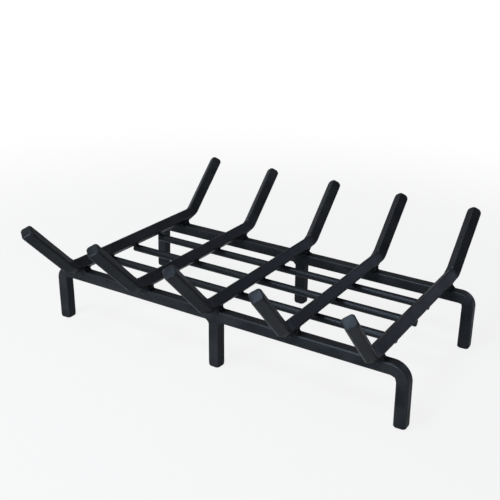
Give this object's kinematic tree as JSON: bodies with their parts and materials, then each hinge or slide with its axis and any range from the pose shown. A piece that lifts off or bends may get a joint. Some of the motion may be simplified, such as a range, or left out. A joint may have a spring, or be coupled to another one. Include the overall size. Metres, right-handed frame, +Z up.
{
  "type": "fireplace log grate",
  "caption": "Fireplace log grate of welded square bar: bent rails with legs carry crosswise log bars with upturned ends, and round rods below them hold back the embers.",
  "frame": {"origin": "on the hearth, under the middle of the grate: the middle of the bounding box's bottom face", "axes": "+X along the rails to the right as seen from the front, +Y from the front rail to the rear rail, +Z up"},
  "size_m": [0.6, 0.5052, 0.1956],
  "materials": {
    "bar_coat": "satin-matt black coating on solid square bar",
    "rod_coat": "satin-matt black coating on round rod",
    "weld_coat": "the same black coating over rippled weld beads"
  },
  "bodies": {
    "root": {"front_rail": "bar_coat", "rear_rail": "bar_coat", "front_middle_leg": "bar_coat", "rear_middle_leg": "bar_coat", "log_bar_1": "bar_coat", "log_bar_2": "bar_coat", "log_bar_3": "bar_coat", "log_bar_4": "bar_coat", "log_bar_5": "bar_coat", "front_ember_rod": "rod_coat", "middle_ember_rod": "rod_coat", "rear_ember_rod": "rod_coat", "log_bar_1_welds": "weld_coat", "log_bar_2_welds": "weld_coat", "log_bar_3_welds": "weld_coat", "log_bar_4_welds": "weld_coat", "log_bar_5_welds": "weld_coat", "front_rod_welds": "weld_coat", "middle_rod_welds": "weld_coat", "rear_rod_welds": "weld_coat", "front_leg_welds": "weld_coat", "rear_leg_welds": "weld_coat"}
  },
  "joints": []
}
